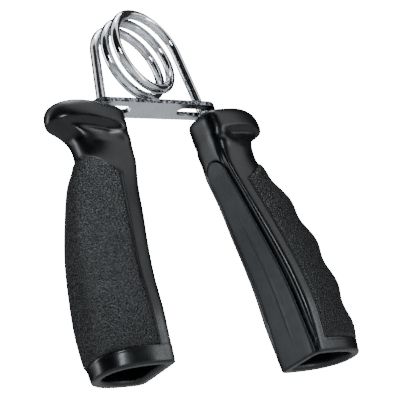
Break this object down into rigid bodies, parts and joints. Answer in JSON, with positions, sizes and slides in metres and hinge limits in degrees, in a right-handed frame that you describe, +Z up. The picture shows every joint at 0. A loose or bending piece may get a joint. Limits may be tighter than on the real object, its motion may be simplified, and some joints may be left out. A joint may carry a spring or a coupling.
{
  "type": "hand grip strengthener",
  "caption": "Hand exerciser: two moulded handles, one with finger grooves, on the legs of an open torsion spring held at preload by a slotted plate.",
  "frame": {"origin": "on the plane that both handle ends stand on, under the middle of the part's bounding box", "axes": "+X from the palm handle to the finger handle, +Y along the coil's axis away from the finger handle's side, +Z up from the open ends to the coil"},
  "size_m": [0.1294, 0.048, 0.1652],
  "materials": {
    "spring_chrome": "polished nickel-chrome plating on spring wire",
    "plate_zinc": "bright plated sheet steel, sheared edge speckled dark",
    "handle_plastic": "satin black moulding",
    "cover_plastic": "satin black, slightly bluish sheen",
    "pad_grain": "black with a fine pebbled leather grain",
    "nut_steel": "zinc plated spring steel"
  },
  "bodies": {
    "left": {"torsion_spring": "spring_chrome", "left_handle_body": "handle_plastic", "left_inner_cover": "cover_plastic", "left_grip_pad": "pad_grain", "left_push_nut": "nut_steel"},
    "right": {"right_handle_body": "handle_plastic", "right_inner_cover": "cover_plastic", "right_grip_pad": "pad_grain", "right_push_nut": "nut_steel"},
    "plate": {"bridge_plate": "plate_zinc"}
  },
  "joints": [
    {"name": "squeeze", "type": "hinge", "parent": "left", "child": "right", "pos_m": [-0.00224, 0, 0.14498], "axis": [0, 1, 0], "range_deg": [0, 27], "stiffness_Nm_per_rad": 11.54, "springref_deg": -14.32, "deforming": ["torsion_spring"]},
    {"name": "plate_swing", "type": "hinge", "parent": "left", "child": "plate", "pos_m": [-0.00224, 0, 0.14498], "axis": [-0.0528, 0.8934, -0.4461], "range_deg": [0, 15.19]}
  ],
  "couplings": [
    {"joint": "plate_swing", "follows": "squeeze", "ratio": 0.559}
  ]
}
